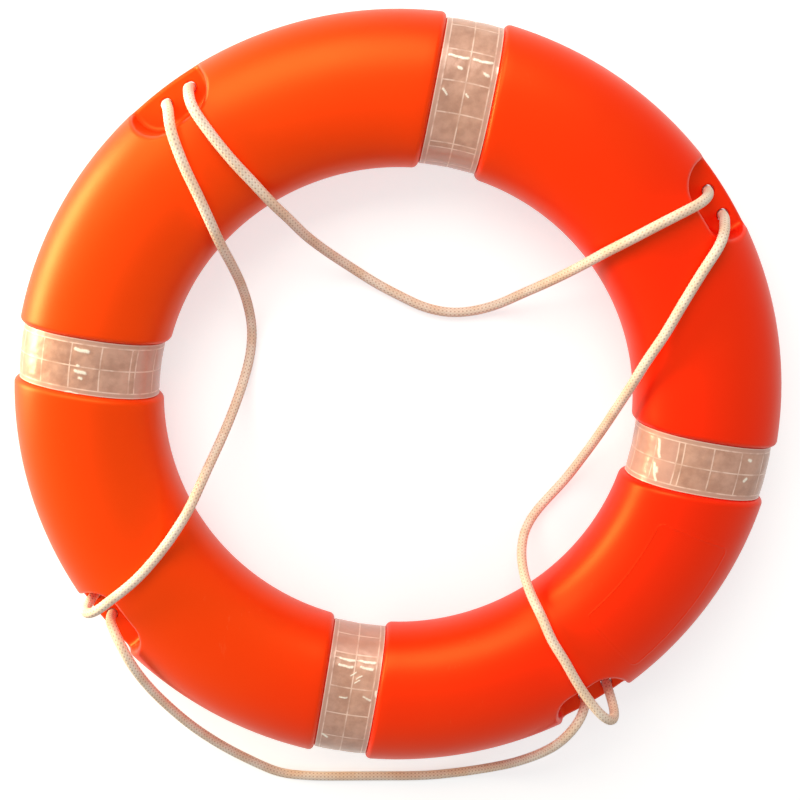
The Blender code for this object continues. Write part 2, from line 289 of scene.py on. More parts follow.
def setUV(mesh, along, across):
    corners = np.empty(len(mesh.loops), int)
    mesh.loops.foreach_get("vertex_index", corners)
    uv = np.stack([along[corners], across[corners]], axis=1)
    mesh.uv_layers["UVMap"].data.foreach_set("uv", uv.ravel())


def vectorsOf(items, key):
    flat = np.empty(len(items) * 3)
    items.foreach_get(key, flat)
    return flat.reshape(-1, 3)


def pointsOf(mesh):
    return vectorsOf(mesh.vertices, "co")


def movePoints(mesh, places):
    mesh.vertices.foreach_set("co", places.ravel())
    mesh.update()


# The shape of the shell, as a distance: negative inside it, in metres

def seenFrom(co, angles):
    # Each point, turned to the nearest of four places round the ring, and which that is
    radius = np.hypot(co[:, 0], co[:, 1])
    around = np.degrees(np.arctan2(co[:, 1], co[:, 0]))
    away = (around[:, None] - np.array(angles) + 180) % 360 - 180
    nearest = np.abs(away).argmin(axis=1)
    angle = np.radians(away[np.arange(len(co)), nearest])
    return radius * np.cos(angle), radius * np.sin(angle), nearest


def roundMax(first, second, radius):
    # Where both shapes are, with the edge between them rounded
    corner = np.hypot(np.maximum(first + radius, 0), np.maximum(second + radius, 0))
    return np.minimum(-radius, np.maximum(first, second)) + corner


def sectionDistance(co):
    power = ring["power"]
    across = np.abs(np.hypot(co[:, 0], co[:, 1]) - ring["centre"]) / ring["halfWidth"]
    up = np.abs(co[:, 2] - ring["middle"]) / ring["halfHeight"]
    level = np.maximum((across ** power + up ** power) ** (1 / power), 0.3)
    slope = np.hypot(across ** (power - 1) / ring["halfWidth"],
                     up ** (power - 1) / ring["halfHeight"]) * level ** (1 - power)
    return (level - 1) / np.maximum(slope, 5)


def grooveDepth(side):
    past = np.clip((np.abs(side) - groove["half"]) / groove["depth"], 0, 1)
    return groove["depth"] * (1 - np.sqrt(1 - (1 - past) ** 2))


def recessPlace(co):
    # Where each point is, seen from the middle of the nearest recess
    x, y, which = seenFrom(co, anchor["angles"])
    front, back = np.array(anchor["front"])[which], np.array(anchor["back"])[which]
    return x - anchor["circle"], y - np.where(co[:, 2] > ring["middle"], front, back)


def recessDistance(co):
    # The hollows over and under each web: two round lobes, open towards the outside
    x, y = recessPlace(co)
    inward = np.minimum(x, 0)
    rise = np.abs(co[:, 2] - ring["middle"]) - anchor["web"] / 2
    radius = anchor["lobe"] + rise * math.tan(anchor["draft"])
    lobes = [radius - np.hypot(inward, y + side * anchor["spacing"] / 2) for side in (1, -1)]
    wall = -roundMax(lobes[0], lobes[1], anchor["bridge"]) * math.cos(anchor["draft"])
    return roundMax(wall, -rise, anchor["floorFillet"])


def holeDistance(co):
    x, y, which = seenFrom(co, anchor["angles"])
    inward, along = np.array(anchor["holeShifts"])[which].T
    out = np.hypot(x - anchor["circle"] + inward, np.abs(y - along) - anchor["spacing"] / 2)
    return out - anchor["holeRadius"]


def panelDistance(co):
    # The outline of the bare panel in the front, a curved plate with round corners
    angle = np.degrees(np.arctan2(co[:, 1], co[:, 0])) - panel["angle"]
    angle = np.radians((angle + 180) % 360 - 180)
    x = np.abs(np.hypot(co[:, 0], co[:, 1]) - panel["radius"])
    x = x - panel["halfWidth"] + panel["corner"]
    y = np.abs(angle * ring["centre"]) - panel["halfLength"] + panel["corner"]
    outside = np.hypot(np.maximum(x, 0), np.maximum(y, 0))
    return np.minimum(np.maximum(x, y), 0) + outside - panel["corner"]


def panelRelief(co):
    across = panelDistance(co) / panel["line"]
    return panel["height"] * np.exp(-across ** 2) * (co[:, 2] > ring["middle"])


def shellDistance(co):
    side = seenFrom(co, groove["angles"])[1]
    solid = sectionDistance(co) + grooveDepth(side) - panelRelief(co)
    solid = roundMax(solid, -recessDistance(co), anchor["rimFillet"])
    return roundMax(solid, -holeDistance(co), anchor["holeFillet"])


def slopeOf(distance, co, step=0.05 * mm):
    slope = np.empty_like(co)
    for axis in range(3):
        shift = np.zeros(3)
        shift[axis] = step
        slope[:, axis] = (distance(co + shift) - distance(co - shift)) / (2 * step)
    return slope


def settle(distance, co, rounds):
    # Moves points along the slope until they lie on the surface
    for _ in range(rounds):
        slope = slopeOf(distance, co)
        steep = np.maximum((slope ** 2).sum(1), 0.2)
        co = co - slope * (distance(co) / steep)[:, None]
    return co


# The grab line

rope = {
    "radius": 4.75 * mm,
    "relief": 0.45 * mm,
    "pit": 0.25 * mm,
    "plaits": 8,  # strands round it, in each direction
    "pitch": 4 * mm,  # from one plait to the next along it
    "samples": 6,  # mesh rows and columns for one plait
    "clearance": 0.35 * mm,
    "junction": 52.5 * mm,  # where loops and turns meet in a web
    "exit": 55.3 * mm,  # above this it may lean
    "mouth": 14 * mm,  # over this length it may touch its hole
    "relax": 120,
    "pushEvery": 10,  # rounds of relaxing
    # How steeply up from its hinge, and within what distance, each loop's swing sets in
    "swing": {"top": (1.43, 24 * mm), "left": (1.19, 20 * mm),
              "right": (1.0, 12 * mm), "bottom": (1.43, 23 * mm)},
}

# Each loop's anchor and hole at either end, then its route in millimetres
loops = {
    "top": ((1, -1), (0, 1), (
        (-184.5, 291.5, 72), (-182.5, 289.5, 84), (-180.5, 285.5, 96), (-178, 279.5, 105),
        (-174.5, 273, 110), (-168.5, 264, 112.5), (-157, 248, 112), (-141, 228, 109.5),
        (-127, 212, 103),
        (-113, 195, 94.5), (-98, 178, 77), (-85, 162, 57), (-66, 144, 32),
        (-44, 127, 14), (-22, 112, 6.5), (2, 99, 5.2), (26, 88, 5.2),
        (51, 83, 5.2), (75, 85, 6), (96, 92, 12), (117, 104, 27),
        (141, 119, 50), (163, 135, 76), (183, 150, 96), (202, 162, 107),
        (223, 174, 111), (239, 182.5, 112), (251, 188.5, 110.5), (261.5, 193, 105.5),
        (268.5, 196.5, 97), (273.5, 198.5, 85.5), (277.5, 200, 73))),
    "left": ((1, 1), (2, -1), (
        (-204.5, 277, 72), (-201, 275, 84.5), (-198.5, 271, 97), (-196.5, 265, 105.5),
        (-195, 258, 110.5), (-191.5, 246.5, 112), (-184, 225, 111.5), (-174, 202, 109.5),
        (-166, 181, 104),
        (-159, 159, 91), (-152, 137, 69), (-147, 116, 45), (-143, 90, 23),
        (-142, 65, 10), (-145, 41, 6.5), (-151, 18, 11), (-159, -6, 26),
        (-168, -29, 48), (-178, -51, 72), (-186, -69, 90), (-194, -86, 101),
        (-204, -102, 106), (-216, -119, 108), (-229, -135, 109.5), (-242, -149, 111),
        (-255, -160.5, 112), (-268, -170.5, 112), (-280, -180.5, 110), (-289.5, -186.5, 105),
        (-296, -189.5, 96.5), (-299, -189.5, 85.5), (-298, -187.5, 73))),
    "right": ((0, -1), (3, 1), (
        (293.5, 178, 72), (290.5, 174.5, 84.5), (287.5, 169.5, 96.5), (283.5, 163, 106),
        (278.5, 155, 111.5), (272, 144.5, 112), (264, 131, 112), (250, 105, 110.5),
        (237, 78, 106), (223, 53, 101), (213, 28, 88), (204, 3, 70), (194, -26, 47),
        (182, -56, 24), (167, -84, 10), (151, -104, 7), (137, -120, 10),
        (126, -134, 24), (121, -148, 43), (121, -162, 66), (126, -176, 88),
        (135, -193, 101), (144.5, -214, 107.5), (156.5, -233, 111), (167, -252, 112),
        (178, -269.5, 112.4), (190.2, -285.4, 112.2), (195.4, -291.1, 110.6),
        (201.9, -297.2, 106.2), (207.3, -300.3, 98.4), (210.3, -299.8, 89),
        (210.5, -295.7, 79.9), (208.9, -289.2, 70.3))),
    "bottom": ((3, -1), (2, 1), (
        (184.5, -297, 71), (181, -301, 81), (175, -309, 88), (166.5, -321, 88),
        (157, -336, 80), (147.5, -350, 68), (134, -365, 54), (116, -382, 36),
        (91, -398, 18), (65, -408, 8), (33, -413, 5.4), (2, -414, 5.2),
        (-48, -414, 5.2), (-98, -413, 5.4), (-126, -408, 7), (-156, -389, 15),
        (-185, -363, 29), (-210, -333, 46), (-230, -302, 63), (-243, -277, 77),
        (-251, -258, 87), (-257, -243, 93), (-262.5, -229, 95), (-269, -217, 92),
        (-274.5, -210.5, 84), (-279.5, -207.3, 73))),
}

turn = {
    "anchors": (0, 1, 3),  # the fourth anchor has the knots
    "drop": 10 * mm,
    "height": 45.1 * mm,  # of the bend's two ends
    "steps": 12,
}


def toAnchor(which):
    return Matrix.Rotation(math.radians(anchor["angles"][which]), 4, "Z")


def holePoint(which, side, height):
    inward, along = anchor["holeShifts"][which]
    along = along + side * anchor["spacing"] / 2
    return toAnchor(which) @ Vector((anchor["circle"] - inward, along, height))


def smoothPath(points, steps=24):
    # A curve through all the points, whose knots are spaced by the root of the distances
    points = [2 * points[0] - points[1], *points, 2 * points[-1] - points[-2]]
    gaps = [math.sqrt((b - a).length) for a, b in zip(points, points[1:])]
    path = []
    for i in range(1, len(points) - 2):
        before, start, end, after = points[i - 1:i + 3]
        legs = zip(points[i - 1:], points[i:i + 3], gaps[i - 1:])
        slopes = [(b - a) / gap for a, b, gap in legs]
        into = slopes[0] + slopes[1] - (end - before) / (gaps[i - 1] + gaps[i])
        out = slopes[1] + slopes[2] - (after - start) / (gaps[i] + gaps[i + 1])
        into, out = into * gaps[i], out * gaps[i]
        for step in range(steps):
            t = step / steps
            bend = (3 * (end - start) - 2 * into - out) * t ** 2
            path.append(start + into * t + bend + (2 * (start - end) + into + out) * t ** 3)
    path.append(points[-2])
    return np.array(path)


def stepLengths(path):
    return np.linalg.norm(np.diff(path, axis=0), axis=1)


def evenSteps(path, step):
    lengths = np.concatenate(([0], np.cumsum(stepLengths(path))))
    count = round(lengths[-1] / step)
    places = np.linspace(0, lengths[-1], count + 1)
    return np.stack([np.interp(places, lengths, path[:, axis]) for axis in range(3)], axis=1)


def relaxed(path):
    # Evens out the bends, and keeps the line off the shell and inside the part's box
    reach = rope["radius"] + rope["clearance"]
    lowest = np.array((-1, cadBox[0].y + rope["radius"], reach))
    highest = np.array((1, 1, cadBox[1].z - rope["radius"]))
    mouth = round(rope["mouth"] * rope["samples"] / rope["pitch"])
    for count in range(rope["relax"]):
        between = (path[:-2] + path[2:]) / 2
        path[2:-2] += 0.5 * (between - path[1:-1])[1:-1]
        if (count + 1) % rope["pushEvery"] == 0:
            near = shellDistance(path) - reach
            near[:mouth] = 0
            near[-mouth:] = 0
            push = slopeOf(shellDistance, path) * np.minimum(near, 0)[:, None]
            path = np.clip(path - push, lowest, highest)
    return path


def braidHeight(along, around):
    # 1 on top of a plait, 0 in the gaps: one set of strands leans each way
    u = around * rope["plaits"]
    v = along / rope["pitch"]
    heights = []
    for lean, other, swing in ((u + v, u - v, 0.5), (u - v, u + v, -0.5)):
        near = np.round(lean)
        over = 0.5 + swing * np.cos(math.pi * (other - near))
        heights.append(np.abs(np.cos(math.pi * (lean - near))) * (0.3 + 0.7 * over))
    return np.maximum(*heights)


def braidPit(along, around):
    u = around * rope["plaits"] - 0.5
    v = along / rope["pitch"]
    return ((0.5 + 0.5 * np.cos(2 * math.pi * u)) * (0.5 + 0.5 * np.cos(2 * math.pi * v))) ** 2


def ropeMesh(name, path, thickness=None):
    # A grid rolled round the path, with the braid's relief
    rows = len(path) - 1
    sides = rope["plaits"] * rope["samples"]
    mesh, flat = gridMesh(name, rows, sides)
    row = np.round((flat[:, 0] + 1) / 2 * rows).astype(int)
    side = np.round((flat[:, 1] + 1) / 2 * sides).astype(int)

    heading = np.gradient(path, axis=0)
    heading /= np.linalg.norm(heading, axis=1)[:, None]
    across = np.empty_like(path)
    first = np.cross(heading[0], (0.31, 0.87, 0.12))
    across[0] = first / np.linalg.norm(first)
    for i in range(1, len(path)):
        turned = across[i - 1] - heading[i] * across[i - 1].dot(heading[i])
        across[i] = turned / np.linalg.norm(turned)
    other = np.cross(heading, across)

    along = row * stepLengths(path).mean()
    around = side / sides
    depth = rope["relief"] * (1 - braidHeight(along, around))
    depth += rope["pit"] * braidPit(along, around)
    radius = rope["radius"] - depth
    if thickness is not None:
        radius = radius * thickness[row]
    angle = 2 * math.pi * (side % sides) / sides
    out = np.cos(angle)[:, None] * across[row] + np.sin(angle)[:, None] * other[row]
    movePoints(mesh, path[row] + out * radius[:, None])
    setUV(mesh, along, around)

    bm = bmesh.new()
    bm.from_mesh(mesh)
    bmesh.ops.remove_doubles(bm, verts=bm.verts, dist=0.002 * mm)
    bmesh.ops.holes_fill(bm, edges=[e for e in bm.edges if e.is_boundary], sides=0)
    bmesh.ops.recalc_face_normals(bm, faces=bm.faces)
    bm.to_mesh(mesh)
    bm.free()
    mesh.shade_smooth()
    return mesh


def addLoop(band, start, end, route):
    down = [holePoint(*start, height) for height in (rope["junction"], rope["exit"])]
    up = [holePoint(*end, height) for height in (rope["exit"], rope["junction"])]
    points = down + [Vector(point) * mm for point in route] + up
    step = rope["pitch"] / rope["samples"]
    path = relaxed(evenSteps(smoothPath(points), step))
    path = evenSteps(path, step)
    name = "grabLine" + band.capitalize()
    piece = addPiece(name, ropeMesh(name, path), ropeFinish, "line_fibre",
                     "grab_line_" + band)
    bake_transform(piece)


def addTurn(which):
    # Behind a web the line goes down one hole, round and up the other
    centre = holePoint(which, 0, turn["height"])
    tangent = (holePoint(which, 1, 0) - holePoint(which, -1, 0)).normalized()
    points = [holePoint(which, -1, rope["junction"])]
    for i in range(turn["steps"] + 1):
        angle = math.pi * i / turn["steps"]
        along = -math.cos(angle) * anchor["spacing"] / 2
        drop = Vector((0, 0, turn["drop"] * math.sin(angle)))
        points.append(centre + tangent * along - drop)
    points.append(holePoint(which, 1, rope["junction"]))
    path = evenSteps(smoothPath(points), rope["pitch"] / rope["samples"])
    number = str(which + 1)
    name = "lineTurn" + number
    addFixed(name, ropeMesh(name, path), ropeFinish, "line_fibre", "line_turn_" + number)


# The shell

shell = {
    "profile": 84,  # points round the section
    "inGroove": (9 * mm, 18 * mm, groove["half"] - 0.85 * mm),  # columns on either side
    "spacing": 7.6 * mm,  # of the columns away from the grooves
    "shoulderSteps": 7,
    "parallel": 36 * mm,  # columns run parallel to a groove to here
    "radial": 110 * mm,  # and point at the axis from here
    "overcut": 8 * mm,
    "openOut": 60 * mm,  # reach of each recess's void
    "recessSides": 56,
    "recessLevels": 12,
    "holeSides": 32,
    "plugSides": 64,
    "besideIn": 52 * mm,  # an anchor's surroundings, inwards of it
    "besideAlong": 68 * mm,  # and to its sides
    "besidePlug": 16 * mm,
    "finest": 1.3 * mm,  # edge lengths
    "coarsest": 9 * mm,
    "grading": 0.5,  # edge length per distance to a feature
    "slack": 1.4,  # longer edges than this share are halved
    "refines": 8,
    "smooths": 4,
    "smoothWithin": 12 * mm,  # of a feature
    "settleWithin": 3 * mm,
    "exactWithin": 4 * mm,
}

plugs = {
    "filler_plug": {"angle": 57.5, "stem": 10 * mm, "head": 14 * mm},
    "vent_plug": {"angle": 237.5, "stem": 4 * mm, "head": 6.5 * mm},
}
plugFit = {
    "inset": 0.6 * mm,
    "headHeight": 1.3 * mm,
    "stemTop": 3.5 * mm,
    "gap": 0.3 * mm,
    "rim": 0.5 * mm,
    "dish": 0.25 * mm,  # of the head's middle, under its rim
    "seat": 10 * mm,  # height of the body that cuts it
}


def columnPlaces():
    # Each column's groove, and how far to the side of it the column lies
    half, depth = groove["half"], groove["depth"]
    near = list(shell["inGroove"])
    for i in range(shell["shoulderSteps"] + 1):
        near.append(half + depth * (1 - math.cos(math.pi / 2 * i / shell["shoulderSteps"])))
    count = round((ring["centre"] * math.pi / 4 - near[-1]) / shell["spacing"])
    angles = np.radians(groove["angles"])
    bands, places = [], []
    for band in range(4):
        gap = (angles[(band + 1) % 4] - angles[band]) % math.tau
        middle = ring["centre"] * gap / 2
        side = near + list(np.linspace(near[-1], middle, count + 1)[1:])
        bands += [band] * (len(side) + 1) + [(band + 1) % 4] * (len(side) - 1)
        places += [0.0] + side + [-place for place in reversed(side[:-1])]
    return np.array(bands), np.array(places)


def smoothStep(value, low, high):
    part = np.clip((value - low) / (high - low), 0, 1)
    return part * part * (3 - 2 * part)


def spunRing():
    # The section turned about +Z, its columns then moved to the grooves' shoulders
    bands, places = columnPlaces()
    bm = bmesh.new()
    bmesh.ops.create_circle(bm, segments=shell["profile"], radius=1)
    power = 2 / ring["power"]
    for vert in bm.verts:
        x, y = vert.co.x, vert.co.y
        vert.co.x = ring["centre"] + math.copysign(abs(x) ** power, x) * ring["halfWidth"]
        vert.co.y = 0
        vert.co.z = ring["middle"] + math.copysign(abs(y) ** power, y) * ring["halfHeight"]
    spin(bm, len(places))
    bmesh.ops.recalc_face_normals(bm, faces=bm.faces)
    mesh = meshFrom(bm, "shell")
    co = pointsOf(mesh)
    angle = np.arctan2(co[:, 1], co[:, 0]) % math.tau
    column = np.round(angle / math.tau * len(places)).astype(int) % len(places)
    place = places[column]
    depth = grooveDepth(place)
    x = (np.hypot(co[:, 0], co[:, 1]) - ring["centre"]) * (1 - depth / ring["halfWidth"])
    z = (co[:, 2] - ring["middle"]) * (1 - depth / ring["halfHeight"])
    radius = ring["centre"] + x
    side = np.abs(place)
    weight = smoothStep(side, shell["parallel"], shell["radial"])
    parallel = np.arcsin(np.minimum(side / radius, 1))
    swing = (1 - weight) * parallel + weight * side / ring["centre"]
    angle = np.radians(groove["angles"])[bands[column]] + np.sign(place) * swing
    movePoints(mesh, np.stack([radius * np.cos(angle), radius * np.sin(angle),
                               ring["middle"] + z], axis=1))
    return mesh


def recessBlock(bm, which, up):
    # One recess's void, taller than the tube and open past its outer side
    height = ring["halfHeight"] - anchor["web"] / 2 + shell["overcut"]
    wide = anchor["lobe"] + height * math.tan(anchor["draft"])
    radii = (anchor["lobe"], wide) if up == 1 else (wide, anchor["lobe"])
    middle = ring["middle"] + up * (anchor["web"] + height) / 2
    shift = anchor["front" if up == 1 else "back"][which]
    sides, levels = shell["recessSides"], shell["recessLevels"]
    block = bmesh.new()
    bmesh.ops.create_cone(block, cap_ends=True, segments=sides, radius1=radii[0],
                          radius2=radii[1], depth=height,
                          matrix=Matrix.Rotation(math.pi / sides, 4, "Z"))
    for vert in block.verts:
        vert.co.x += shell["openOut"] if vert.co.x > 0 else 0
        vert.co.y += math.copysign(anchor["spacing"] / 2, vert.co.y)
    place = toAnchor(which) @ Matrix.Translation((anchor["circle"], shift, middle))
    bmesh.ops.transform(block, matrix=place, verts=block.verts)
    for i in range(1, levels):
        level = middle + height * (i / levels - 0.5)
        bmesh.ops.bisect_plane(block, geom=block.verts[:] + block.edges[:] + block.faces[:],
                               plane_co=(0, 0, level), plane_no=(0, 0, 1))
    mesh = meshFrom(block, "joined")
    bm.from_mesh(mesh)
    bpy.data.meshes.remove(mesh)


def addCutter(name, bm):
    bmesh.ops.recalc_face_normals(bm, faces=bm.faces)
    return addObject(name, meshFrom(bm, name))


def addRod(bm, place, radius, depth, sides):
    bmesh.ops.create_cone(bm, cap_ends=True, segments=sides, depth=depth, matrix=place,
                          radius1=radius, radius2=radius)


def cutShell(mesh):
    recesses, holes = bmesh.new(), bmesh.new()
    for which in range(4):
        for up in (1, -1):
            recessBlock(recesses, which, up)
        for side in (1, -1):
            place = Matrix.Translation(holePoint(which, side, ring["middle"]))
            addRod(holes, place, anchor["holeRadius"], anchor["web"] + 4 * mm,
                   shell["holeSides"])
    for plug in plugs.values():
        top = plugFit["inset"] + plugFit["headHeight"] + plugFit["gap"]
        place = plugPlace(plug["angle"], top - plugFit["seat"] / 2)
        addRod(holes, place, plug["head"] + plugFit["gap"], plugFit["seat"],
               shell["plugSides"])
    cutters = [addCutter("recessCutter", recesses), addCutter("holeCutter", holes)]
    body = addObject("shellBody", mesh)
    for cutter in cutters:
        boolean = body.modifiers.new(cutter.name, "BOOLEAN")
        boolean.operation = "DIFFERENCE"
        boolean.solver = "EXACT"
        boolean.object = cutter
    depsgraph = bpy.context.evaluated_depsgraph_get()
    cut = bpy.data.meshes.new_from_object(body.evaluated_get(depsgraph))
    for made in cutters + [body]:
        bpy.data.objects.remove(made)
    return cut


def plugPlace(angle, height):
    turned = math.radians(angle)
    return Matrix.Translation((ring["centre"] * math.cos(turned),
                               ring["centre"] * math.sin(turned), height))


def besideAnchor(co):
    x, y, _ = seenFrom(co, anchor["angles"])
    return (x > anchor["circle"] - shell["besideIn"]) & (np.abs(y) < shell["besideAlong"])


def besidePlug(co):
    beside = np.zeros(len(co), bool)
    for plug in plugs.values():
        place = np.array(plugPlace(plug["angle"], 0).translation)
        beside |= np.linalg.norm(co - place, axis=1) < plug["head"] + shell["besidePlug"]
    return beside & (np.abs(shellDistance(co)) < 0.1 * mm)


def toFeature(co):
    # How far each point is from the nearest rim, floor corner, hole edge or panel line
    x, y = recessPlace(co)
    rise = np.abs(co[:, 2] - ring["middle"]) - anchor["web"] / 2
    lobe = np.hypot(np.minimum(x, 0), np.abs(y) - anchor["spacing"] / 2) - anchor["lobe"]
    rim = np.hypot(sectionDistance(co), recessDistance(co))
    corner = np.hypot(lobe, rise)
    hole = np.hypot(holeDistance(co), rise)
    near = np.minimum(np.minimum(rim, corner), hole)
    near = np.where(besideAnchor(co), near, 1)
    line = np.abs(panelDistance(co)) + 1 * (co[:, 2] < ring["middle"])
    return np.minimum(near, 0.5 * line)


def refine(bm):
    # Short edges where the shape turns sharply, longer ones further away
    for _ in range(shell["refines"]):
        edges = bm.edges[:]
        ends = np.array([[*e.verts[0].co, *e.verts[1].co] for e in edges])
        middles = (ends[:, :3] + ends[:, 3:]) / 2
        lengths = np.linalg.norm(ends[:, :3] - ends[:, 3:], axis=1)
        limit = np.clip(shell["grading"] * toFeature(middles),
                        shell["finest"], shell["coarsest"])
        chosen = [edge for edge, long in zip(edges, lengths > limit * shell["slack"]) if long]
        if not chosen:
            break
        bmesh.ops.subdivide_edges(bm, edges=chosen, cuts=1)
        bmesh.ops.triangulate(bm, faces=[f for f in bm.faces if len(f.verts) > 4])
        quads = [f for f in bm.faces if len(f.verts) == 4]
        beside = besideAnchor(np.array([f.calc_center_median() for f in quads]))
        bmesh.ops.triangulate(bm, faces=[f for f, use in zip(quads, beside) if use])


def makeShellMesh():
    mesh = cutShell(spunRing())
    bm = bmesh.new()
    bm.from_mesh(mesh)
    bmesh.ops.remove_doubles(bm, verts=bm.verts, dist=0.02 * mm)
    bmesh.ops.triangulate(bm, faces=[f for f in bm.faces if len(f.verts) > 4])
    refine(bm)
    for _ in range(shell["smooths"]):
        co = np.array([vert.co for vert in bm.verts])
        near = (toFeature(co) < shell["smoothWithin"]) & besideAnchor(co)
        chosen = [vert for vert, use in zip(bm.verts, near) if use]
        bmesh.ops.smooth_vert(bm, verts=chosen, factor=0.5, use_axis_x=True,
                              use_axis_y=True, use_axis_z=True)
        co = settle(shellDistance, np.array([vert.co for vert in chosen]), 4)
        for vert, place in zip(chosen, co):
            vert.co = place
    bm.to_mesh(mesh)
    bm.free()
    co = pointsOf(mesh)
    line = (toFeature(co) < shell["settleWithin"]) & ~besideAnchor(co)
    co[line] = settle(shellDistance, co[line], 3)
    movePoints(mesh, co)
    mesh.shade_smooth()
    normals = vectorsOf(mesh.vertex_normals, "vector")
    exact = besideAnchor(co) | besidePlug(co) | (toFeature(co) < shell["exactWithin"])
    slope = slopeOf(shellDistance, co[exact])
    normals[exact] = slope / np.linalg.norm(slope, axis=1)[:, None]
    mesh.normals_split_custom_set_from_vertices(normals)
    print("shell", len(mesh.vertices), "vertices", len(mesh.polygons), "faces")
    return mesh


def addPlug(name):
    plug = plugs[name]
    low, rim = plugFit["inset"], plugFit["rim"]
    top = low + plugFit["headHeight"]
    bm = bmesh.new()
    outline = [(0, low + plugFit["dish"]), (plug["head"] * 0.55, low + 0.8 * plugFit["dish"]),
               (plug["head"] * 0.62, low), (plug["head"] - rim, low),
               (plug["head"], low + rim), (plug["head"], top), (plug["stem"], top),
               (plug["stem"], plugFit["stemTop"]), (0, plugFit["stemTop"])]
    points = [bm.verts.new((x, 0, z)) for x, z in outline]
    for start, end in zip(points, points[1:]):
        bm.edges.new((start, end))
    spin(bm, shell["plugSides"])
    weld(bm)
    bmesh.ops.transform(bm, matrix=plugPlace(plug["angle"], 0), verts=bm.verts)
    mesh = meshFrom(bm, name)
    mesh.shade_smooth()
    mesh.set_sharp_from_angle(angle=math.radians(40))
    addFixed(name.replace("_plug", "Plug"), mesh, plugFinish, "plug_plastic", name)


# Tape bands

tape = {
    "half": 25.25 * mm,
    "inset": 4.4 * mm,  # of the outer face, from the ring's surface
    "thickness": 0.6 * mm,
    "rows": 330,
    "columns": 46,
    "cell": 27 * mm,  # between two weld lines across the tape
    "seam": 59.4 * mm,  # where one more line marks the lapped ends
    "border": 4.5 * mm,
    "weld": 1.1 * mm,
    "weldHeight": 0.12 * mm,
    "pillow": 0.22 * mm,
    "pillowEdge": 3.2 * mm,
    "crinkle": 0.05 * mm,
    "waves": 14,  # that make up the crinkles
    "wavePitch": (5, 16),  # from the shortest to the longest, in mm
    # the creases' raised height; the same creases are painted pale as glints
    "creaseAndGlint": 0.35 * mm,
    "flatEnd": (1 * mm, 6 * mm),  # the relief sets in between these, at the ends
}
# Where each band's weld lines are counted from, along the section
tapeStarts = {"top": 171.5 * mm, "left": 172.3 * mm, "bottom": 175 * mm, "right": 154.5 * mm}
# Each band's creases, raised in the tape and painted pale as glints, in millimetres: the two
# ends, along and across, and the width
tapeCreasesAndGlints = {
    "top": ((-20.8, 18.5, -20.3, 2, 1.3), (-20.3, -3, -20.8, -19, 1.3),
            (-11, 8.5, -11.2, 6, 1.7), (-10.5, -14.5, -10, -17.5, 1.7),
            (8.5, 18, 12.5, 14.5, 1.1), (9.5, -2, 11.8, -4, 1),
            (-18, -25, -14, -26, 1.6)),
    "left": ((4, -15.6, 14.5, -14.6, 1.9), (6, 4.2, 14, 5.4, 1.8), (7.4, -1, 8.4, -0.8, 1.4),
             (9.4, 10, 11.6, 10.8, 1.5), (-2, 24.6, 9, 24.8, 0.8)),
    "bottom": ((53.6, -15, 52.9, -1, 1.2), (54, 5, 53.2, 19, 1.3), (46.8, -15, 47.1, -2, 1.4),
               (47.9, 6, 47.4, 17.5, 1.4), (43, 2, 39, -3, 0.7), (40, 8, 37, 3, 0.7),
               (36, 7, 33, 2, 0.7), (17.2, -10, 17.6, -3, 0.9), (21, 12.5, 17, 20, 0.9),
               (27, 24, 22, 24.6, 1.4), (-27, -20, -30, -15, 1.4)),
    "right": ((78.8, 18, 75.4, 2, 1.5), (79, -5, 73.6, -20.5, 1.3), (-8.5, 14.6, -10, 14, 1.8),
              (-7.5, -6, -10, -3.5, 1.5), (75.5, -9, 74.6, -12, 2)),
}


def sectionLine(inset):
    # The section's outline from its lowest point, outwards and up, with its length
    angle = np.linspace(-math.pi / 2, 1.5 * math.pi, 4001)
    power = 2 / ring["power"]
    x = np.sign(np.cos(angle)) * np.abs(np.cos(angle)) ** power * (ring["halfWidth"] - inset)
    z = np.sign(np.sin(angle)) * np.abs(np.sin(angle)) ** power * (ring["halfHeight"] - inset)
    length = np.concatenate(([0], np.cumsum(np.hypot(np.diff(x), np.diff(z)))))
    return x, z, length


def creaseAndGlintHeight(along, across, creasesAndGlints):
    # 1 along the middle of each crease, fading out to its sides and wavering a little; it
    # raises the tape and marks where pale glints are painted
    along = along + 0.4 * mm * np.sin(across / (3.1 * mm) + along / (5 * mm))
    along = along + 0.15 * mm * np.sin(across / (1.2 * mm))
    across = across + 0.3 * mm * np.sin(along / (1.7 * mm))
    height = np.zeros_like(along)
    for creaseAndGlint in creasesAndGlints:
        fromX, fromY, toX, toY, wide = (value * mm for value in creaseAndGlint)
        length = math.hypot(toX - fromX, toY - fromY)
        x, y = along - fromX, across - fromY
        part = np.clip((x * (toX - fromX) + y * (toY - fromY)) / length ** 2, 0, 1)
        away = np.hypot(x - part * (toX - fromX), y - part * (toY - fromY))
        height = np.maximum(height, np.exp(-(away / wide) ** 2))
    return height


def tapeRelief(along, across, creasesAndGlints, seed):
    # Cells puffed between their weld lines, on a tape with slight crinkles
    fromLine = np.abs((along + tape["cell"] / 2) % tape["cell"] - tape["cell"] / 2)
    fromLine = np.minimum(fromLine, np.abs(along - tape["seam"]))
    inner = tape["half"] - tape["border"]
    fromCentre = np.abs(across)
    edge = np.minimum(np.minimum(fromLine, fromCentre), np.abs(fromCentre - inner))
    ridge = tape["weldHeight"] * np.exp(-(edge / (tape["weld"] / 2)) ** 2)
    puffed = tape["pillow"] * (1 - np.exp(-(edge / tape["pillowEdge"]) ** 2))
    puffed = puffed * (fromCentre < inner)
    draws = np.random.default_rng(seed)
    waves = np.zeros_like(along)
    for _ in range(tape["waves"]):
        pitch = draws.uniform(*tape["wavePitch"]) * mm
        lean = draws.uniform(0, math.tau)
        phase = draws.uniform(0, math.tau)
        swing = (math.cos(lean) * along + math.sin(lean) * across) * math.tau / pitch
        waves += np.sin(swing + phase)
    return ridge + puffed + waves / 3 * tape["crinkle"] + tape["creaseAndGlint"] * creasesAndGlints


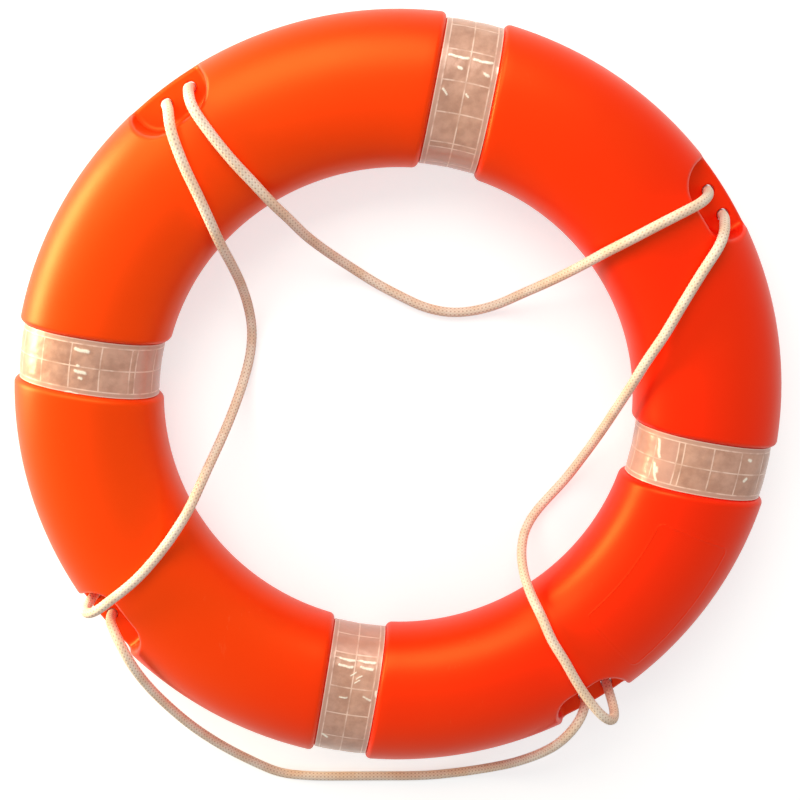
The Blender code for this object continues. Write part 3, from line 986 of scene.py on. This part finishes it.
def addTape(band, index):
    name = "tapeBand" + band.capitalize()
    rows = tape["rows"]
    mesh, flat = gridMesh(name, rows, tape["columns"])
    x, z, length = sectionLine(tape["inset"])
    along = np.round((flat[:, 0] + 1) / 2 * rows) / rows * length[-1]
    across = flat[:, 1] * tape["half"]
    counted = along - tapeStarts[band]
    creasesAndGlints = creaseAndGlintHeight(counted, across, tapeCreasesAndGlints[band])
    # the creases' mask, kept for the finish's painted glints
    mesh.attributes.new("creaseAndGlint", "FLOAT", "POINT").data.foreach_set("value", creasesAndGlints)
    seam = np.minimum(along, length[-1] - along)
    relief = tapeRelief(counted, across, creasesAndGlints, index) * smoothStep(seam, *tape["flatEnd"])
    slopeX = np.gradient(z, length)
    slopeZ = -np.gradient(x, length)
    outX = np.interp(along, length, x) + np.interp(along, length, slopeX) * relief
    outZ = np.interp(along, length, z) + np.interp(along, length, slopeZ) * relief
    radius = ring["centre"] + outX
    turned = math.radians(groove["angles"][index])
    near = np.sqrt(radius ** 2 - across ** 2)
    movePoints(mesh, np.stack([near * math.cos(turned) - across * math.sin(turned),
                               near * math.sin(turned) + across * math.cos(turned),
                               ring["middle"] + outZ], axis=1))
    setUV(mesh, counted, across)
    bm = bmesh.new()
    bm.from_mesh(mesh)
    weld(bm)
    bmesh.ops.solidify(bm, geom=bm.faces[:], thickness=tape["thickness"])
    bm.to_mesh(mesh)
    bm.free()
    mesh.shade_smooth()
    mesh.set_sharp_from_angle(angle=math.radians(45))
    addFixed(name, mesh, tapeFinish, "reflective_tape", "tape_band_" + band)


# Stopper knots: the line's two ends, wrapped behind the fourth web

knot = {
    "anchor": 2,
    "squeeze": 0.87,  # the line is pressed thinner in the knot
    "crown": 47.2 * mm,
    "foot": 13.2 * mm,
    "turns": 2.0,
    "top": 42.6 * mm,
    "bottom": 27.4 * mm,
    "tip": 3 * mm,  # rounds the cut end
    "tuck": 0.45,  # share by which the wrap's ends draw in
    "steps": 40,
}


def addKnot(side):
    step = rope["pitch"] / rope["samples"]
    axis = holePoint(knot["anchor"], side, 0)
    up = Vector((0, 0, 1))
    core = evenSteps(np.array([axis + up * rope["junction"], axis + up * knot["foot"]]), step)
    height = core[:, 2]
    squeezed = smoothStep(knot["crown"] - height, -1 * mm, 3 * mm)
    squeezed *= smoothStep(height - knot["bottom"], -10 * mm, -3 * mm)
    thickness = 1 - (1 - knot["squeeze"]) * squeezed
    tip = np.clip((height - knot["foot"]) / knot["tip"], 0, 1)
    thickness = thickness * np.sqrt(np.maximum(1 - (1 - tip) ** 2, 0.02))

    radius = 2 * rope["radius"] * knot["squeeze"]
    points = []
    for i in range(knot["steps"] + 1):
        part = i / knot["steps"]
        angle = knot["turns"] * math.tau * part * side
        tuck = min(part, 1 - part) * 2 * knot["turns"]
        reach = radius * (1 - knot["tuck"] * max(0, 1 - 3 * tuck) ** 2)
        level = knot["top"] + (knot["bottom"] - knot["top"]) * part
        points.append(axis + Vector((math.cos(angle) * reach, math.sin(angle) * reach, level)))
    wrap = evenSteps(smoothPath(points, 8), step)
    bm = bmesh.new()
    bm.from_mesh(ropeMesh("core", core, thickness))
    bm.from_mesh(ropeMesh("wrap", wrap, np.full(len(wrap), knot["squeeze"])))
    end = "start" if side == 1 else "end"
    mesh = meshFrom(bm, "lineKnot" + end.capitalize())
    mesh.shade_smooth()
    addFixed(mesh.name, mesh, ropeFinish, "line_fibre", "line_knot_" + end)


# Finishes

ropeLook = {
    "clean": rgb(255, 239, 220),
    "worn": rgb(249, 222, 195),
    # the pit colour and its share are painted shade in the pits between the plaits
    "pit": rgb(176, 116, 80),
    "pitShadeShare": 0.7,
    "roughness": 0.85,
    "sheen": 0.15,
}


def makeRopeFinish():
    # Pale fibres, with painted shade in the pits between the plaits
    finish = Finish("ropeFibre", Roughness=ropeLook["roughness"])
    along, around = finish.coordinates("UV").split()
    u = around * rope["plaits"]
    v = along / rope["pitch"]
    # Painted shade: dark specks in the pits, strong in one set and weaker in the other
    pit = ((u - 0.5).wave() * v.wave()) ** 2
    other = (u.wave() * (v - 0.5).wave()) ** 2
    gap = (pit + other * 0.35).clamped()
    solid = finish.coordinates("Object")
    cloud = solid.noise(45, detail=2)
    colour = cloud.between(0.35, 0.65).mixed(ropeLook["clean"], ropeLook["worn"])
    colour = (gap * ropeLook["pitShadeShare"]).mixed(colour, ropeLook["pit"])
    finish.set("Base Color", colour)
    fibres = solid.noise(1400, detail=2, roughness=0.6)
    finish.set("Normal", fibres.bump(0.15 * mm, 0.5))
    finish.set("Sheen Weight", ropeLook["sheen"])
    return finish.material


shellLook = {
    # The first two colours are the painted shade and painted light ends of the one plastic
    "shadedSide": rgb(255, 13, 0),
    "litSide": rgb(255, 62, 0),
    "litTowards": (-0.96, 0.28, 0.0),  # the side painted lighter, as painted light from the lamps' side
    "scuff": rgb(255, 104, 62),
    "wear": 0.16,  # how strongly the scuffs show
    "specular": 0.7,
    "tint": (1.0, 0.66, 0.13, 1.0),
    "roughness": 0.41,
}


def makeShellFinish():
    # Satin plastic: painted light that turns the colour lighter and more orange towards the
    # upper left, a slow random tone, a fine grain and a few faint scuffs
    finish = Finish("shellPlastic", **{"Specular IOR Level": shellLook["specular"],
                                       "Specular Tint": shellLook["tint"]})
    solid = finish.coordinates("Object")
    # Painted light: lighter and more orange on the side facing the lamps, darker red away from
    # them
    side = solid.node("ShaderNodeVectorMath", {"operation": "DOT_PRODUCT"},
                      {0: solid, 1: shellLook["litTowards"]}, output=1)
    litSideAndTone = side / (2 * ring["radius"]) + solid.noise(6, detail=3) * 0.4
    colour = litSideAndTone.between(-0.3, 0.7).mixed(shellLook["shadedSide"], shellLook["litSide"])
    patches = solid.noise(9, detail=2).between(0.5, 0.7)
    scuffs = solid.noise(150, detail=5, roughness=0.65, stretch=(1, 0.25, 1))
    worn = scuffs.between(0.63, 0.7) * patches * shellLook["wear"]
    finish.set("Base Color", worn.mixed(colour, shellLook["scuff"]))
    cloud = solid.noise(22, detail=4)
    finish.set("Roughness", cloud * 0.1 + worn * 0.5 + (shellLook["roughness"] - 0.05))
    swell = solid.noise(16, detail=1).bump(2.5 * mm, 0.1)
    grain = solid.noise(750, detail=2, roughness=0.6)
    finish.set("Normal", grain.bump(0.05 * mm, 0.35, below=swell))
    return finish.material


plugLook = {
    "low": rgb(240, 44, 2),
    "high": rgb(250, 62, 10),
    "specular": 0.3,
    "roughness": 0.42,
}


def makePlugFinish():
    # The same plastic, moulded matt, slightly mottled and with a fine grain
    finish = Finish("plugPlastic", **{"Specular IOR Level": plugLook["specular"]})
    solid = finish.coordinates("Object")
    cloud = solid.noise(70, detail=3)
    finish.set("Base Color", cloud.mixed(plugLook["low"], plugLook["high"]))
    finish.set("Roughness", cloud * 0.15 + plugLook["roughness"])
    finish.set("Normal", solid.noise(1100, detail=2).bump(0.05 * mm, 0.5))
    return finish.material


foamLook = {
    "cell": rgb(246, 241, 224),
    "wall": rgb(214, 202, 172),
    "cellsPerMetre": 420.0,
    "roughness": 0.92,
}


def makeFoamFinish():
    # Rigid foam: small closed cells with darker walls
    finish = Finish("rigidFoam", Roughness=foamLook["roughness"])
    solid = finish.coordinates("Object")
    cells = solid.cells(foamLook["cellsPerMetre"])
    cloud = solid.noise(12, detail=3) * 0.4
    shade = (cells * 0.7 + cloud).clamped()
    finish.set("Base Color", shade.mixed(foamLook["cell"], foamLook["wall"]))
    finish.set("Normal", cells.bump(0.5 * mm, 0.6))
    return finish.material


tapeLook = {
    "low": rgb(181, 131, 106),
    "high": rgb(215, 166, 142),
    "border": rgb(200, 154, 132),
    "line": rgb(246, 212, 192),
    "lapped": rgb(214, 160, 142),
    # painted highlight: the pale glint colour along the creases
    "creaseAndGlint": rgb(255, 246, 226),
    "roughness": 0.34,
    "metallic": 0.15,
    "coat": 0.5,
    "coatRoughness": 0.2,
}


def makeTapeFinish():
    # A clear sheet welded over silvery prisms, in cells with pale lines between them, and
    # painted pale glints along its creases
    finish = Finish("reflectiveTape", **{"Coat Roughness": tapeLook["coatRoughness"],
                                         "Metallic": tapeLook["metallic"]})
    along, across = finish.coordinates("UV").split()
    solid = finish.coordinates("Object")

    inner = tape["half"] - tape["border"]
    fromCentre = across.size()
    welds = along.maths("PINGPONG", tape["cell"] / 2)
    lap = (along - tape["seam"]).size()
    crossing = welds.least(lap).most(fromCentre - inner)
    line = crossing.least(fromCentre).least((fromCentre - inner).size())
    line = 1 - line.between(0.3 * mm, 0.85 * mm)
    fade = solid.noise(90, detail=3).between(0.36, 0.6) * 0.65 + 0.25
    edge = fromCentre.between(tape["half"] - 1.2 * mm, tape["half"] - 0.7 * mm)

    row = (along / tape["cell"]).maths("FLOOR")
    cell = row.node("ShaderNodeTexWhiteNoise", {"noise_dimensions": "1D"},
                    {"W": row * 2.0 + across.maths("SIGN")})
    cloud = solid.noise(75, detail=4, roughness=0.6).between(0.3, 0.7)
    tone = cell * 0.3 + cloud * 0.7
    colour = tone.mixed(tapeLook["low"], tapeLook["high"])
    outside = fromCentre.between(inner, inner + 0.8 * mm)
    colour = outside.mixed(colour, tapeLook["border"])
    past = along.between(tape["seam"] - 1 * mm, tape["seam"] + 1 * mm)
    colour = (past * 0.6).mixed(colour, tapeLook["lapped"])
    colour = (line * fade).mixed(colour, tapeLook["line"])
    colour = (edge * 0.7).mixed(colour, tapeLook["line"])
    # Painted highlight: pale glints along the creases, broken up by noise
    creaseAndGlint = finish.attribute("creaseAndGlint") * (solid.noise(700, detail=2) + 0.6)
    colour = creaseAndGlint.between(0.2, 1.0).mixed(colour, tapeLook["creaseAndGlint"])
    finish.set("Base Color", colour)
    finish.set("Roughness", cloud * 0.12 + tapeLook["roughness"])
    finish.set("Coat Weight", (1 - line * 0.5) * tapeLook["coat"])
    crinkles = solid.noise(160, detail=3, roughness=0.55).bump(0.35 * mm, 0.35)
    finish.set("Normal", solid.cells(900.0).bump(0.08 * mm, 0.2, below=crinkles))
    return finish.material


# Floor and lights

stage = {
    "size": 40.0,
    "floorColour": (0.7, 0.7, 0.7, 1.0),
    "floorGlow": (0.6, 0.6, 0.6, 1.0),  # shown to the camera on top of the lit floor
    "worldStrength": 0.4,
}
# Each lamp's place, aim, size, power and colour
lamps = {
    "keyLamp": ((-1.4, 0.45, 0.26), (-0.3, 0.1, 0.05), (1.1, 0.4), 32, (1.0, 0.84, 0.5)),
    "topLamp": ((-0.5, 1.5, 1.6), (0, 0, 0), (1.8, 1.2), 32, (1.0, 0.94, 0.84)),
}


def addFloor():
    bm = bmesh.new()
    bmesh.ops.create_grid(bm, x_segments=1, y_segments=1, size=stage["size"] / 2)
    mesh = meshFrom(bm, "floor")
    finish = Finish("floorPaint", **{"Base Color": stage["floorColour"], "Roughness": 0.9,
                                     "Specular IOR Level": 0.0})
    glow = seenDirectly(finish.tree).mixed((0.0, 0.0, 0.0, 1.0), stage["floorGlow"])
    finish.set("Emission Color", glow)
    finish.set("Emission Strength", 1.0)
    mesh.materials.append(finish.material)
    addObject("floor", mesh)


def seenDirectly(tree):
    # 1 for the rays that show the background itself, 0 for those that light the object
    path = tree.nodes.new("ShaderNodeLightPath")
    seen = Wire(tree, path.outputs["Is Camera Ray"])
    for name in ("Is Glossy Ray", "Is Transmission Ray"):
        seen = seen.most(Wire(tree, path.outputs[name]))
    return seen


def addLamp(name, place, aim, size, power, colour):
    data = bpy.data.lights.new(name, "AREA")
    data.shape = "RECTANGLE"
    data.size, data.size_y = size
    data.energy = power
    data.color = colour
    made = addObject(name, data)
    made.location = place
    made.rotation_euler = (Vector(aim) - Vector(place)).to_track_quat("-Z", "Y").to_euler()


def addWorld():
    world = bpy.data.worlds.new("studio")
    world.use_nodes = True
    bpy.context.scene.world = world
    tree = world.node_tree
    background = tree.nodes["Background"]
    background.inputs["Color"].default_value = (1, 1, 1, 1)
    strength = seenDirectly(tree) * (1 - stage["worldStrength"]) + stage["worldStrength"]
    tree.links.new(strength.socket, background.inputs["Strength"])


addCamera()
ropeFinish = makeRopeFinish()
for band, facts in loops.items():
    addLoop(band, *facts)
for which in turn["anchors"]:
    addTurn(which)
print("ropes done")
for side in (1, -1):
    addKnot(side)
print("knots done")

shellFinish = makeShellFinish()
plugFinish = makePlugFinish()
addFixed("shellSkin", makeShellMesh(), shellFinish, "shell_plastic", "shell")
for name in plugs:
    addPlug(name)
print("shell done")

tapeFinish = makeTapeFinish()
for index, band in enumerate(("top", "left", "bottom", "right")):
    addTape(band, index)
print("tape done")

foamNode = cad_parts["foam_core"]
foamNode.data.materials.clear()
foamNode.data.materials.append(makeFoamFinish())

addFloor()
addWorld()
for name, facts in lamps.items():
    addLamp(name, *facts)
bpy.context.scene.view_settings.view_transform = "Standard"
